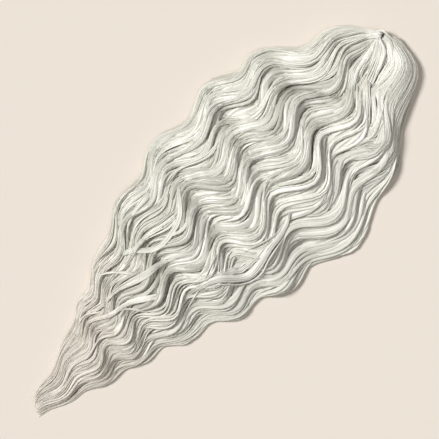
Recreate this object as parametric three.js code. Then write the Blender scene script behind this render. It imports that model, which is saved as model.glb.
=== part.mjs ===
// A bundle of wavy braiding hair, lying on a surface.
// A hank of long synthetic fibre is tied at its middle and folded there, so two halves fall from the tie.
// The front half fans out on top, the back half comes round the other side of the tie and lies under it,
// and a few loose locks cross over the front half.
// Millimetres, +Z up. X runs up the bundle from the cut tips to the tie, and Y runs to the bundle's left.

import * as THREE from "three";

// The tie: a dark thread wound round the hank, whose axis there runs along Y.
const NECK_RADIUS = 5.5;
const NECK_HALF_LENGTH = 3.6;
const TIE_CLEARANCE = 0.3;
const THREAD_RADIUS = 0.5;
const THREAD_TURNS = 3;
const TIE_OUTER_RADIUS = NECK_RADIUS + TIE_CLEARANCE + 2 * THREAD_RADIUS;
const NECK_HEIGHT = TIE_OUTER_RADIUS + 0.1;

// Gaps and facets.
const LAYER_GAP = 0.9;
const HALVES_GAP = 0.3;
const LOOSE_GAP = 0.5;
const STEPS_PER_WAVE = 8;
const FACETS_PER_LOCK = 3;

// Locks, and how far their crests stand above the hollows between them.
const FRONT_LOCKS = 10;
const BACK_LOCKS = 10;
const LOCK_RELIEF = 5.4;
const LOCK_SWELL = 0.3;
const TIP_RAGGEDNESS = 0.28;
const FAN_START = 0.4;

// The front half thins towards its right edge, and its lower side clears the back half's edge by a margin.
const RIGHT_THINNING = 0.5;
const EDGE_MARGIN = 0.1;
const COVERED_COLUMNS = 5;

// The waves swing less at the bundle's two outer edges.
const EDGE_CALM = 0.4;

// A half's edge where it leaves the tie, on the neck's lower or upper side as seen from above.
const neckEdge = (edge, down, out) => ({
  [`${edge}Down`]: down * NECK_RADIUS,
  [`${edge}Out`]: out * NECK_HALF_LENGTH,
});

// One row for each wave of the hair, counted from the tie, which is wave 0. Distances are from the tie:
// down the bundle, and out to its left (to the right is negative). height is the half's own thickness.
const FRONT = [
  { wave: 0, ...neckEdge("left", -1, 1), ...neckEdge("right", 1, 1), height: 2 * NECK_RADIUS },
  { wave: 0.2, leftDown: 5, leftOut: 15, rightDown: 14, rightOut: -4, height: 12 },
  { wave: 0.5, leftDown: 17, leftOut: 32, rightDown: 26, rightOut: -19, height: 14 },
  { wave: 1, leftDown: 47, leftOut: 47, rightDown: 58, rightOut: -37, height: 15 },
  { wave: 2, leftDown: 120, leftOut: 84, rightDown: 144, rightOut: -63, height: 16 },
  { wave: 3, leftDown: 191, leftOut: 88, rightDown: 232, rightOut: -73, height: 16 },
  { wave: 4, leftDown: 272, leftOut: 83, rightDown: 297, rightOut: -62, height: 15 },
  { wave: 5, leftDown: 341, leftOut: 64, rightDown: 358, rightOut: -53, height: 14 },
  { wave: 6, leftDown: 402, leftOut: 37, rightDown: 412, rightOut: -44, height: 12 },
  { wave: 7, leftDown: 441, leftOut: 21, rightDown: 456, rightOut: -40, height: 9 },
  { wave: 8, leftDown: 491, leftOut: 1, rightDown: 502, rightOut: -34, height: 6 },
  { wave: 9, leftDown: 541, leftOut: -13, rightDown: 546, rightOut: -22, height: 3.5 },
];
const BACK = [
  { wave: 0, ...neckEdge("left", 1, -1), ...neckEdge("right", -1, -1), height: 2 * NECK_RADIUS },
  { wave: 0.2, leftDown: 13, leftOut: -8, rightDown: -9, rightOut: -18, height: 13 },
  { wave: 0.5, leftDown: 25, leftOut: -15, rightDown: 1, rightOut: -53, height: 17 },
  { wave: 1, leftDown: 54, leftOut: -22, rightDown: 65, rightOut: -89, height: 19 },
  { wave: 2, leftDown: 128, leftOut: 31, rightDown: 154, rightOut: -129, height: 18 },
  { wave: 3, leftDown: 203, leftOut: 41, rightDown: 244, rightOut: -119, height: 17 },
  { wave: 4, leftDown: 279, leftOut: 40, rightDown: 304, rightOut: -103, height: 16 },
  { wave: 5, leftDown: 346, leftOut: 31, rightDown: 362, rightOut: -83, height: 14 },
  { wave: 6, leftDown: 405, leftOut: 14, rightDown: 415, rightOut: -66, height: 12 },
  { wave: 7, leftDown: 444, leftOut: 3, rightDown: 460, rightOut: -55, height: 10 },
  { wave: 8, leftDown: 493, leftOut: -9, rightDown: 502, rightOut: -42, height: 7 },
  { wave: 9, leftDown: 541, leftOut: -16, rightDown: 547, rightOut: -26, height: 4.5 },
];

// How far the waves swing each hair to the left and right, and how deep it dips at every second bend.
const SWING = [
  { wave: 0, side: 0, dip: 0 },
  { wave: 0.5, side: 1.5, dip: 1 },
  { wave: 1, side: 7, dip: 5 },
  { wave: 2, side: 10, dip: 7.5 },
  { wave: 3, side: 10, dip: 7.5 },
  { wave: 4, side: 9, dip: 7 },
  { wave: 5, side: 6.5, dip: 5.5 },
  { wave: 6, side: 5, dip: 3.6 },
  { wave: 7, side: 4, dip: 2.4 },
  { wave: 8, side: 3, dip: 1.4 },
  { wave: 9, side: 2, dip: 0.6 },
];
const DIP_PHASE = 0.73;
const DIP_SHARPNESS = 2.2;
const CREST_SHARE = 0.3;
const BACK_DIP_SHARE = 0.5;

// Loose locks that cross the front half, with a smaller swing than its own.
// Across runs from 0 at its left edge to 1 at its right edge.
const LOOSE_LOCKS = [
  { startWave: 4, startAcross: 0.43, endWave: 5.5, endAcross: 0.3, width: 7, height: 4 },
  { startWave: 4.5, startAcross: 0.66, endWave: 7, endAcross: 0.16, width: 7, height: 4 },
  { startWave: 5, startAcross: 0.8, endWave: 7, endAcross: 0.26, width: 7, height: 4 },
];
const LOOSE_SWING = 0.3;
const BED_REACH = 1.4;
const LOOSE_FACETS = 4;
const LOOSE_TAPER = 0.35;

const WAVES = FRONT.at(-1).wave;
const smooth = (x) => THREE.MathUtils.smoothstep(x, 0, 1);
const { lerp, clamp } = THREE.MathUtils;

// A column of a table at any wave, on a curve that is smooth through the rows.
function column(rows, key, wave) {
  const last = rows.length - 1;
  const after = rows.findIndex((row) => row.wave > wave);
  const i = after < 0 ? last - 1 : Math.max(after - 1, 0);
  const slope = (j) => {
    const before = rows[Math.max(j - 1, 0)];
    const next = rows[Math.min(j + 1, last)];
    return (next[key] - before[key]) / (next.wave - before.wave);
  };
  const span = rows[i + 1].wave - rows[i].wave;
  const t = clamp((wave - rows[i].wave) / span, 0, 1);
  const rise = rows[i + 1][key] - rows[i][key];
  const startBend = t * (1 - t) * (1 - t) * (slope(i) * span - rise);
  const endBend = t * t * (1 - t) * (rise - slope(i + 1) * span);
  return rows[i][key] + rise * t + startBend + endBend;
}

// The place on a half's plan before the waves swing it. across is 0 at its left edge and 1 at its right.
function restingPlace(half, wave, across) {
  const down = lerp(column(half, "leftDown", wave), column(half, "rightDown", wave), across);
  const out = lerp(column(half, "leftOut", wave), column(half, "rightOut", wave), across);
  return new THREE.Vector2(-down, out);
}

// How far a wave has swung the hair, as a share of the table's swing to the left.
const swayShare = (wave) => -Math.sin(2 * Math.PI * wave);

// The place on the plan with the waves: the hair swings square to the way it runs.
function place(half, wave, across, gain = 1) {
  const step = 0.02;
  const ahead = restingPlace(half, Math.min(wave + step, WAVES), across);
  const behind = restingPlace(half, Math.max(wave - step, 0), across);
  const along = ahead.sub(behind).normalize();
  const toLeft = new THREE.Vector2(along.y, -along.x);
  const outward = half === FRONT ? 1 - across : across;
  const calm = 1 - EDGE_CALM * Math.pow(clamp(outward, 0, 1), 4);
  const sway = column(SWING, "side", wave) * swayShare(wave) * calm * gain;
  return restingPlace(half, wave, across).addScaledVector(toLeft, sway);
}

// Cross-section forms, as shares of full height: the heaped back half and the flatter front half.
const heaped = (across) => Math.pow(Math.max(1 - (2 * across - 1) ** 2, 0), 0.55);
const draped = (across) => Math.sqrt(Math.max(1 - (2 * across - 1) ** 4, 0));
const round = (across) => Math.sqrt(Math.max(1 - (2 * across - 1) ** 2, 0));

// The crests of the locks across a half, from 0 in the hollows to 1, each lock swelling along its length.
function lockCrest(locks, wave, across) {
  const lock = Math.min(Math.floor(across * locks), locks - 1);
  const crest = Math.sin(Math.PI * (across * locks - lock));
  return crest * (1 - LOCK_SWELL + LOCK_SWELL * Math.sin(2.3 * wave + 2.1 * lock));
}

const relief = (wave) => LOCK_RELIEF * smooth(wave / FAN_START) * (column(FRONT, "height", wave) / 16);

// How far the waves raise the hair: a little at most bends, with a short dip at every second one.
function lift(wave) {
  const bend = (1 + Math.cos(2 * Math.PI * (wave - DIP_PHASE))) / 2;
  return column(SWING, "dip", wave) * (CREST_SHARE - Math.pow(bend, DIP_SHARPNESS));
}

// Where a point of the plan lies across the back half, from 0 to 1 over it.
function acrossBack(wave, point) {
  const left = restingPlace(BACK, wave, 0);
  const chord = restingPlace(BACK, wave, 1).sub(left);
  return point.clone().sub(left).dot(chord) / chord.lengthSq();
}

// The back half's upper side, smooth where the front half covers it.
function backTop(wave, across) {
  const height = column(BACK, "height", wave) + BACK_DIP_SHARE * lift(wave);
  return height * heaped(clamp(across, 0, 1));
}

// How far a point across the back half lies outside the front half, from 0 under it to 1.
function uncovered(wave, across) {
  const edge = acrossBack(wave, restingPlace(FRONT, wave, 1));
  return smooth((across - edge) / 0.08);
}

// The front half's lower side, clear of the back half, or on the floor past its edge.
function frontBottom(wave, across) {
  const over = acrossBack(wave, restingPlace(FRONT, wave, across));
  if (over < -EDGE_MARGIN) {
    return 0;
  }
  const inward = over < 0.5 ? Math.min(over + EDGE_MARGIN, 0.5) : over;
  return backTop(wave, inward) + LAYER_GAP;
}

// The front half's upper side, with the locks' crests and hollows.
function frontTop(wave, across) {
  const height = (column(FRONT, "height", wave) + lift(wave)) * (1 - RIGHT_THINNING * across);
  const crest = relief(wave) * (lockCrest(FRONT_LOCKS, wave, across) - 0.5);
  return frontBottom(wave, across) + (height + crest) * draped(across);
}

// A section through the neck at the tie, blended into the fan below it.
function neckBlend(wave, across, side, fanHeight) {
  const neck = NECK_HEIGHT + side * NECK_RADIUS * round(across);
  return lerp(neck, fanHeight, smooth(wave / FAN_START));
}

// Closes a row of rings, which have as many points each, into one solid with flat ends.
function loftRings(rings) {
  const size = rings[0].length;
  const positions = rings.flatMap((ring) => ring.flatMap((point) => point.toArray()));
  const index = [];
  for (let row = 0; row + 1 < rings.length; row += 1) {
    for (let i = 0; i < size; i += 1) {
      const next = (i + 1) % size;
      const [a, b] = [row * size + i, row * size + next];
      const [c, d] = [a + size, b + size];
      index.push(a, c, b, b, c, d);
    }
  }
  for (const [row, outward] of [[0, 1], [rings.length - 1, -1]]) {
    const centre = positions.length / 3;
    const sum = rings[row].reduce((total, point) => total.add(point), new THREE.Vector3());
    positions.push(...sum.divideScalar(size).toArray());
    for (let i = 0; i < size; i += 1) {
      const [a, b] = [row * size + i, row * size + ((i + 1) % size)];
      index.push(centre, ...(outward > 0 ? [a, b] : [b, a]));
    }
  }
  const geometry = new THREE.BufferGeometry();
  geometry.setAttribute("position", new THREE.Float32BufferAttribute(positions, 3));
  geometry.setIndex(index);
  return geometry;
}

// The waves at which a half has a section, and how far across it a section's points lie.
function stations() {
  const count = WAVES * STEPS_PER_WAVE;
  return Array.from({ length: count + 1 }, (_, i) => i / STEPS_PER_WAVE);
}
const shares = (count) => Array.from({ length: count + 1 }, (_, i) => i / count);

// Near the tips the locks end at different lengths.
function raggedWave(wave, across, locks) {
  const lock = Math.round(across * locks);
  const uneven = Math.sin(3.7 * lock) * TIP_RAGGEDNESS * smooth((wave - WAVES + 1) / 1);
  return wave - Math.abs(uneven);
}

// A ring of points: along the upper side from left to right, and back along the lower side.
function sectionRing(half, wave, locks, upperShares, lowerShares, upper, lower) {
  const point = (across, heightAt) => {
    const w = raggedWave(wave, across, locks);
    const plan = place(half, w, across);
    return new THREE.Vector3(plan.x, plan.y, heightAt(w, across));
  };
  const top = upperShares.map((across) => point(across, upper));
  const bottom = lowerShares.slice(1, -1).reverse().map((across) => point(across, lower));
  return [...top, ...bottom];
}

// The neck's stub that passes through the tie, as rings like those of the fan.
function stubRing(ring, out) {
  return ring.map((point) => new THREE.Vector3(point.x, out, point.z));
}

function makeFrontHalf() {
  const upper = (wave, across) => neckBlend(wave, across, 1, frontTop(wave, across));
  const lower = (wave, across) => neckBlend(wave, across, -1, frontBottom(wave, across));
  const upperShares = shares(FRONT_LOCKS * FACETS_PER_LOCK);
  const lowerShares = shares(FRONT_LOCKS);
  const rings = stations().map((wave) =>
    sectionRing(FRONT, wave, FRONT_LOCKS, upperShares, lowerShares, upper, lower));
  const stubEnd = HALVES_GAP - NECK_HALF_LENGTH;
  return loftRings([stubRing(rings[0], stubEnd), ...rings]);
}

function makeBackHalf() {
  const upper = (wave, across) => {
    const shown = relief(wave) * uncovered(wave, across) * heaped(across);
    const crest = shown * (lockCrest(BACK_LOCKS, wave, across) - 0.5);
    return neckBlend(wave, across, 1, backTop(wave, across) + crest);
  };
  const lower = (wave, across) => neckBlend(wave, across, -1, 0);
  const fine = shares(BACK_LOCKS * FACETS_PER_LOCK).filter((across) => across >= 0.5);
  const upperShares = [...shares(2 * COVERED_COLUMNS).slice(0, COVERED_COLUMNS), ...fine];
  const lowerShares = shares(BACK_LOCKS);
  return loftRings(stations().map((wave) =>
    sectionRing(BACK, wave, BACK_LOCKS, upperShares, lowerShares, upper, lower)));
}

// A loose lock: a flat oval section that lies on the crests of the front half that are under it there,
// and tapers at both ends.
function makeLooseLock(row) {
  const count = Math.round((row.endWave - row.startWave) * STEPS_PER_WAVE);
  const section = (length) => {
    const wave = lerp(row.startWave, row.endWave, length);
    const across = lerp(row.startAcross, row.endAcross, smooth(length));
    const middle = place(FRONT, wave, across, LOOSE_SWING);
    const edge = place(FRONT, wave, 1).sub(place(FRONT, wave, 0));
    const breadth = edge.length();
    const lag = column(SWING, "side", wave) * swayShare(wave) * (1 - LOOSE_SWING);
    const taper = smooth(Math.min(length, 1 - length) / LOOSE_TAPER) * 0.8 + 0.2;
    const half = (taper * row.width) / 2;
    edge.normalize();
    const under = shares(8).map((share) => lag + (2 * share - 1) * BED_REACH * half);
    const crests = under.map((offset) => frontTop(wave, clamp(across + offset / breadth, 0, 1)));
    const bed = Math.max(...crests) + LOOSE_GAP;
    const ring = [];
    for (let i = 0; i <= LOOSE_FACETS; i += 1) {
      const offset = half * (1 - (2 * i) / LOOSE_FACETS);
      const rise = taper * row.height * round(i / LOOSE_FACETS);
      ring.push([offset, bed + rise + 0.5]);
    }
    for (let i = LOOSE_FACETS; i >= 0; i -= 1) {
      const offset = half * (1 - (2 * i) / LOOSE_FACETS);
      ring.push([offset, bed]);
    }
    return ring.map(([offset, z]) => {
      const plan = middle.clone().addScaledVector(edge, -offset);
      return new THREE.Vector3(plan.x, plan.y, z);
    });
  };
  return loftRings(shares(count).map(section));
}

// The tie: turns of thread side by side round the neck, as one ring.
function makeTie() {
  const inner = NECK_RADIUS + TIE_CLEARANCE;
  const halfWidth = THREAD_TURNS * THREAD_RADIUS;
  const profile = [new THREE.Vector2(inner, -halfWidth)];
  for (let turn = 0; turn < THREAD_TURNS; turn += 1) {
    const centre = -halfWidth + (2 * turn + 1) * THREAD_RADIUS;
    for (const angle of [-60, -20, 20, 60]) {
      const a = THREE.MathUtils.degToRad(angle);
      const reach = inner + THREAD_RADIUS * (1 + Math.cos(a));
      profile.push(new THREE.Vector2(reach, centre + THREAD_RADIUS * Math.sin(a)));
    }
  }
  profile.push(new THREE.Vector2(inner, halfWidth), new THREE.Vector2(inner, -halfWidth));
  return new THREE.LatheGeometry(profile, 20);
}

const hairMaterial = (colour) =>
  new THREE.MeshStandardMaterial({ color: colour, roughness: 0.42, metalness: 0 });
const threadMaterial = new THREE.MeshStandardMaterial({ color: 0x2b2622, roughness: 0.8, metalness: 0 });

function piece(name, geometry, material) {
  geometry.computeVertexNormals();
  const mesh = new THREE.Mesh(geometry, material);
  mesh.name = name;
  return mesh;
}

const bundle = new THREE.Group();
bundle.add(piece("front_half", makeFrontHalf(), hairMaterial(0xdcdad0)));
bundle.add(piece("back_half", makeBackHalf(), hairMaterial(0xd2d0c6)));
LOOSE_LOCKS.forEach((row, i) => {
  bundle.add(piece(`loose_lock_${i + 1}`, makeLooseLock(row), hairMaterial(0xe4e2d8)));
});
const tie = piece("tie_thread", makeTie(), threadMaterial);
tie.position.z = NECK_HEIGHT;
bundle.add(tie);

// The origin is on the surface, under the middle of the bundle's outline.
const middle = new THREE.Box3().setFromObject(bundle).getCenter(new THREE.Vector3());
bundle.position.set(-middle.x, -middle.y, 0);
const part = new THREE.Group();
part.add(bundle);

export default part;
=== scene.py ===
"""The looks of a bundle of wavy braiding hair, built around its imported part."""

import math

import bpy
import numpy as np
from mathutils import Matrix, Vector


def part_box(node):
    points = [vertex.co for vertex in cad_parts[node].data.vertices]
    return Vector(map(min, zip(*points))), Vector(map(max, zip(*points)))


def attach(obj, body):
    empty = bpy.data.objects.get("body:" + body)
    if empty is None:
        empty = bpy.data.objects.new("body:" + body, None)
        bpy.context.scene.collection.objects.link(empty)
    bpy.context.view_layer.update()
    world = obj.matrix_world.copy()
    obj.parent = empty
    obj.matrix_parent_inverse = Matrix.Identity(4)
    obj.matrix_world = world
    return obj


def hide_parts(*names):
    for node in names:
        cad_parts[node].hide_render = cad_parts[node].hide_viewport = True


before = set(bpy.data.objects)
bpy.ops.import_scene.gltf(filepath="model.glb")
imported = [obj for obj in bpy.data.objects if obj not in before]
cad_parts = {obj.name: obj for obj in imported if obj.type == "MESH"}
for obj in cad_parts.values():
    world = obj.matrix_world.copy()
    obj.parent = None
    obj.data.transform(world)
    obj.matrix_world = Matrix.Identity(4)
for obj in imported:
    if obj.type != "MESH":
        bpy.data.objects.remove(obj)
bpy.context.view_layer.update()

# Places are worked out in millimetres from the tie, and go to the part's frame in metres in each mesh.
MM = 0.001
tie_low, tie_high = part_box("tie_thread")
TIE_PLACE = np.array(tie_low + tie_high) / 2 / MM
NECK_RADIUS = 5.5
NECK_HALF_LENGTH = 3.6
NECK_HEIGHT = TIE_PLACE[2]

SEED = 41
rng = np.random.default_rng(SEED)


# The form of the bundle follows the part's own tables, with small changes by the tie and at the tips.
# A row is a wave of the hair, counted from the tie. Distances are down the bundle and out to its left.
HALF_COLUMNS = ("wave", "left_down", "left_out", "right_down", "right_out", "height")
FRONT_ROWS = [
    (0, -NECK_RADIUS, NECK_HALF_LENGTH, NECK_RADIUS, NECK_HALF_LENGTH, 11),
    (0.2, 5, 15, 14, -4, 12),
    (0.5, 17, 32, 26, -19, 14),
    (1, 47, 47, 58, -37, 15),
    (1.6, 91.2, 66.8, 108.8, -54.1, 15.7),
    (2, 120, 84, 144, -63, 16),
    (3, 191, 88, 232, -73, 16),
    (4, 272, 83, 297, -62, 15),
    (5, 341, 64, 358, -53, 14),
    (6, 402, 37, 412, -44, 12),
    (7, 441, 21, 456, -40, 9),
    (8, 491, 1, 502, -34, 6),
    (9, 537, -10, 550, -23, 3.5),
]
BACK_ROWS = [
    (0, NECK_RADIUS, -NECK_HALF_LENGTH, -NECK_RADIUS, -NECK_HALF_LENGTH, 11),
    (0.2, 13, -8, -11, -19, 13),
    (0.5, 25, -15, 1, -56, 17),
    (1, 54, -22, 65, -89, 19),
    (2, 128, 31, 154, -129, 18),
    (3, 203, 41, 244, -119, 17),
    (4, 279, 40, 304, -103, 16),
    (5, 346, 31, 362, -83, 14),
    (6, 405, 14, 415, -66, 12),
    (7, 444, 3, 460, -55, 10),
    (8, 493, -9, 502, -42, 7),
    (9, 537, -13, 551, -27, 4.5),
]
LAST_WAVE = 9.0

# How far the waves swing the hair to its sides, and how deep it dips at every second bend.
SWING_COLUMNS = ("wave", "side", "dip")
SWING_ROWS = [
    (0, 0, 0),
    (0.5, 1.5, 1),
    (1, 7, 5),
    (2, 10, 7.5),
    (3, 10, 7.5),
    (4, 9, 7),
    (5, 6.5, 5.5),
    (6, 5, 3.6),
    (7, 4, 2.4),
    (8, 3, 1.4),
    (9, 2, 0.6),
]

# The dips are earlier and shorter in the upper hair. A ramp here is where it starts, and how far it takes.
DIP_PHASE = 0.73
DIP_SHARPNESS = 2.2
UPPER_DIP_PHASE = 0.685
UPPER_DIP_SHARPNESS = 4.0
LOWER_HAIR_RAMP = (3, 2)
CREST_SHARE = 0.3
DIP_SHARE = 1.1
BACK_DIP_SHARE = 0.5

# The back half is heaped and the front half draped over it. The waves swing less at the outer edges.
HEAP_POWER = 0.55
DRAPE_POWER = 4
EDGE_CALM = 0.4
EDGE_CALM_POWER = 4
RIGHT_THINNING = 0.5
SLOPE_STEP = 0.02

# The crests of the halves' main locks, which the tufts lie on.
LOCKS_IN_HALF = 10
LOCK_RELIEF = 5.4
RELIEF_HEIGHT = 16
LOCK_SWELL = 0.3
SWELL_PER_WAVE = 2.3
SWELL_PER_LOCK = 2.1
FAN_START = 0.4
PARTING_RAMP = (0.6, 2.2)
TAIL_CREST_RAMP = (0.8, 0.9)
TIE_RELIEF = 0.4
TIE_RELIEF_RAMP = (1.2, 1.5)
UNCOVERED_SPAN = 0.08


def table(columns, rows):
    return dict(zip(columns, np.array(rows, float).T))


FRONT = table(HALF_COLUMNS, FRONT_ROWS)
BACK = table(HALF_COLUMNS, BACK_ROWS)
SWING = table(SWING_COLUMNS, SWING_ROWS)


def smooth(x):
    x = np.clip(x, 0, 1)
    return x * x * (3 - 2 * x)


def ramp(value, start, span):
    """A smooth rise from 0 to 1 that begins at the start and takes the span."""
    return smooth((value - start) / span)


def lerp(a, b, t):
    return a + (b - a) * t


def column(rows, key, wave):
    """A column of a table at any wave, on a curve that is smooth through the rows."""
    at = rows["wave"]
    value = rows[key]
    last = len(at) - 1
    before = np.maximum(np.arange(last + 1) - 1, 0)
    after = np.minimum(np.arange(last + 1) + 1, last)
    slope = (value[after] - value[before]) / (at[after] - at[before])
    i = np.clip(np.searchsorted(at, wave, side="right") - 1, 0, last - 1)
    span = at[i + 1] - at[i]
    t = np.clip((wave - at[i]) / span, 0, 1)
    rise = value[i + 1] - value[i]
    start_bend = t * (1 - t) ** 2 * (slope[i] * span - rise)
    end_bend = t * t * (1 - t) * (rise - slope[i + 1] * span)
    return value[i] + rise * t + start_bend + end_bend


def resting_place(half, wave, across):
    down = lerp(column(half, "left_down", wave), column(half, "right_down", wave), across)
    out = lerp(column(half, "left_out", wave), column(half, "right_out", wave), across)
    return np.stack([-down, out], -1)


def breadth(half, wave):
    left = resting_place(half, wave, 0.0)
    right = resting_place(half, wave, 1.0)
    return np.linalg.norm(right - left, axis=-1)


def side_swing(wave, phase):
    return -column(SWING, "side", wave) * np.sin(2 * np.pi * (wave + phase))


def place(half, wave, across, phase=0.0, gain=1.0):
    """The place on the plan with the waves: the hair swings square to the way it runs."""
    ahead = resting_place(half, np.minimum(wave + SLOPE_STEP, LAST_WAVE), across)
    behind = resting_place(half, np.maximum(wave - SLOPE_STEP, 0), across)
    along = ahead - behind
    along /= np.linalg.norm(along, axis=-1, keepdims=True)
    to_left = np.stack([along[..., 1], -along[..., 0]], -1)
    outward = 1 - across if half is FRONT else across
    calm = 1 - EDGE_CALM * np.clip(outward, 0, 1) ** EDGE_CALM_POWER
    sway = side_swing(wave, phase) * calm * gain
    return resting_place(half, wave, across) + to_left * sway[..., None]


def heaped(across):
    return np.maximum(1 - (2 * np.clip(across, 0, 1) - 1) ** 2, 0) ** HEAP_POWER


def draped(across):
    return np.sqrt(np.maximum(1 - (2 * np.clip(across, 0, 1) - 1) ** DRAPE_POWER, 0))


def round_arc(across):
    return np.sqrt(np.maximum(1 - (2 * np.clip(across, 0, 1) - 1) ** 2, 0))


def lift(wave):
    """How far the waves raise the hair, with a short dip at every second bend."""
    lower = ramp(wave, *LOWER_HAIR_RAMP)
    phase = lerp(UPPER_DIP_PHASE, DIP_PHASE, lower)
    sharpness = lerp(UPPER_DIP_SHARPNESS, DIP_SHARPNESS, lower)
    bend = (1 + np.cos(2 * np.pi * (wave - phase))) / 2
    return column(SWING, "dip", wave) * (CREST_SHARE - DIP_SHARE * bend**sharpness)


def across_back(wave, point):
    left = resting_place(BACK, wave, 0.0)
    chord = resting_place(BACK, wave, 1.0) - left
    return ((point - left) * chord).sum(-1) / (chord**2).sum(-1)


def back_top(wave, across):
    return (column(BACK, "height", wave) + BACK_DIP_SHARE * lift(wave)) * heaped(across)


def front_bottom(wave, across):
    over = across_back(wave, resting_place(FRONT, wave, across))
    return np.where(over < 0, 0.0, back_top(wave, np.clip(over, 0, 1)))


def lock_crest(wave, across, locks):
    """The crests of so many locks, from 0 in the hollows to 1, each lock swelling along its length."""
    lock = np.minimum(np.floor(across * locks), locks - 1)
    swell = 1 - LOCK_SWELL + LOCK_SWELL * np.sin(SWELL_PER_WAVE * wave + SWELL_PER_LOCK * lock)
    return np.sin(np.pi * (across * locks - lock)) * swell


def crest_height(wave):
    near_tie = 1 - ramp(wave, *TIE_RELIEF_RAMP)
    relief = LOCK_RELIEF * (1 + TIE_RELIEF * near_tie) * ramp(wave, 0, FAN_START)
    return relief * column(FRONT, "height", wave) / RELIEF_HEIGHT


def crest_rise(half, wave, across):
    """How far the crests of the locks stand out: half as many by the tie, and none on the tail there."""
    across = np.clip(across, 0, 1)
    few = lock_crest(wave, across, LOCKS_IN_HALF // 2)
    many = lock_crest(wave, across, LOCKS_IN_HALF)
    crest = lerp(few, many, ramp(wave, *PARTING_RAMP))
    shown = ramp(wave, *TAIL_CREST_RAMP) if half is BACK else 1.0
    return crest_height(wave) * (crest - 0.5) * shown


def uncovered(wave, across):
    """How far a place on the back half lies outside the front half, from 0 under it to 1."""
    edge = across_back(wave, resting_place(FRONT, wave, 1.0))
    return ramp(across, edge, UNCOVERED_SPAN)


def neck_blend(wave, across, side, height):
    neck = NECK_HEIGHT + side * NECK_RADIUS * round_arc(across)
    return lerp(neck, height, ramp(wave, 0, FAN_START))


def top_of(half, wave, across, over_crests=False):
    """The height of a half's upper side, or of what lies over the crests of its locks."""
    crest = 0.5 * crest_height(wave) if over_crests else crest_rise(half, wave, across)
    if half is BACK:
        height = back_top(wave, across) + crest * uncovered(wave, across) * heaped(across)
    else:
        thinning = 1 - RIGHT_THINNING * np.clip(across, 0, 1)
        thickness = (column(FRONT, "height", wave) + lift(wave)) * thinning
        height = front_bottom(wave, across) + (thickness + crest) * draped(across)
    return neck_blend(wave, across, 1, height)


def bottom_of(half, wave, across):
    height = front_bottom(wave, across) if half is FRONT else np.zeros_like(wave + across)
    return neck_blend(wave, across, -1, height)


# Meshes.
TINY = 1e-9


def in_frame(points):
    return (points + np.array([TIE_PLACE[0], TIE_PLACE[1], 0.0])) * MM


def raised(plan, height):
    """Points on the plan, each at its height."""
    return np.concatenate([plan, height[..., None]], -1)


def make_mesh(name, points, quads, triangles, fields):
    """A smooth shaded mesh with a number for each point in each of its fields."""
    mesh = bpy.data.meshes.new(name)
    mesh.vertices.add(len(points))
    mesh.vertices.foreach_set("co", in_frame(points).astype(np.float32).ravel())
    corners = np.concatenate([quads.ravel(), triangles.ravel()]).astype(np.int32)
    mesh.loops.add(len(corners))
    mesh.loops.foreach_set("vertex_index", corners)
    starts = np.concatenate([np.arange(len(quads)) * 4, quads.size + np.arange(len(triangles)) * 3])
    mesh.polygons.add(len(starts))
    mesh.polygons.foreach_set("loop_start", starts.astype(np.int32))
    mesh.polygons.foreach_set("use_smooth", np.ones(len(starts), bool))
    mesh.update(calc_edges=True)
    for key, values in fields.items():
        attribute = mesh.attributes.new(key, "FLOAT", "POINT")
        attribute.data.foreach_set("value", values.astype(np.float32))
    piece = bpy.data.objects.new(name, mesh)
    bpy.context.scene.collection.objects.link(piece)
    return piece


def tube_mesh(name, rings, fields):
    """Closed tubes from rings of points (tubes, stations, sides, 3), with fields for the points."""
    count, stations, sides, _ = rings.shape
    index = np.arange(count * stations * sides).reshape(count, stations, sides)
    follow = np.roll(index, -1, axis=2)
    quads = np.stack([index[:, :-1], index[:, 1:], follow[:, 1:], follow[:, :-1]], -1).reshape(-1, 4)
    tips = index.size + np.arange(2 * count).reshape(2, count, 1) + np.zeros(sides, int)
    start_caps = np.stack([tips[0], index[:, 0], follow[:, 0]], -1)
    end_caps = np.stack([tips[1], follow[:, -1], index[:, -1]], -1)
    triangles = np.concatenate([start_caps, end_caps]).reshape(-1, 3)
    points = [rings.reshape(-1, 3), rings[:, 0].mean(1), rings[:, -1].mean(1)]
    whole = {}
    for key, values in fields.items():
        values = np.broadcast_to(values, (count, stations, sides))
        whole[key] = np.concatenate([values.ravel(), values[:, 0].mean(1), values[:, -1].mean(1)])
    return make_mesh(name, np.concatenate(points), quads, triangles, whole)


def frames(path, tilt=0.0):
    """Unit vectors across and out of hair along its path, leaning with the slope it lies on."""
    along = np.gradient(path, axis=1)
    along /= np.linalg.norm(along, axis=2, keepdims=True) + TINY
    side = np.cross(along, [0, 0, 1.0])
    side /= np.linalg.norm(side, axis=2, keepdims=True) + TINY
    up = np.cross(side, along)
    side = side + up * np.broadcast_to(tilt, side.shape[:2])[..., None]
    side /= np.linalg.norm(side, axis=2, keepdims=True)
    return side, np.cross(side, along)


def swept_rings(path, side, up, width, height, sides):
    """Rings of lens section round paths, with how far across and how high up each of their points lies."""
    turn = 2 * np.pi * (np.arange(sides) + 0.5) / sides
    reach = np.cos(turn) * width[..., None]
    rise = np.sin(turn) * height[..., None]
    rings = path[:, :, None] + side[:, :, None] * reach[..., None] + up[:, :, None] * rise[..., None]
    return rings, reach, np.broadcast_to(np.sin(turn), reach.shape)


# Locks. Each is a few tufts side by side; a tuft is a swept body with fine strands lying along it.
TUFT_SIDES = 8
STATIONS_PER_WAVE = 11
FLOOR_STATIONS_PER_WAVE = 7
STRAND_SIDES = 3
STRAND_STATIONS_PER_WAVE = 10
BURIED_START = -0.05
SECTION_STEPS = 721

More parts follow.
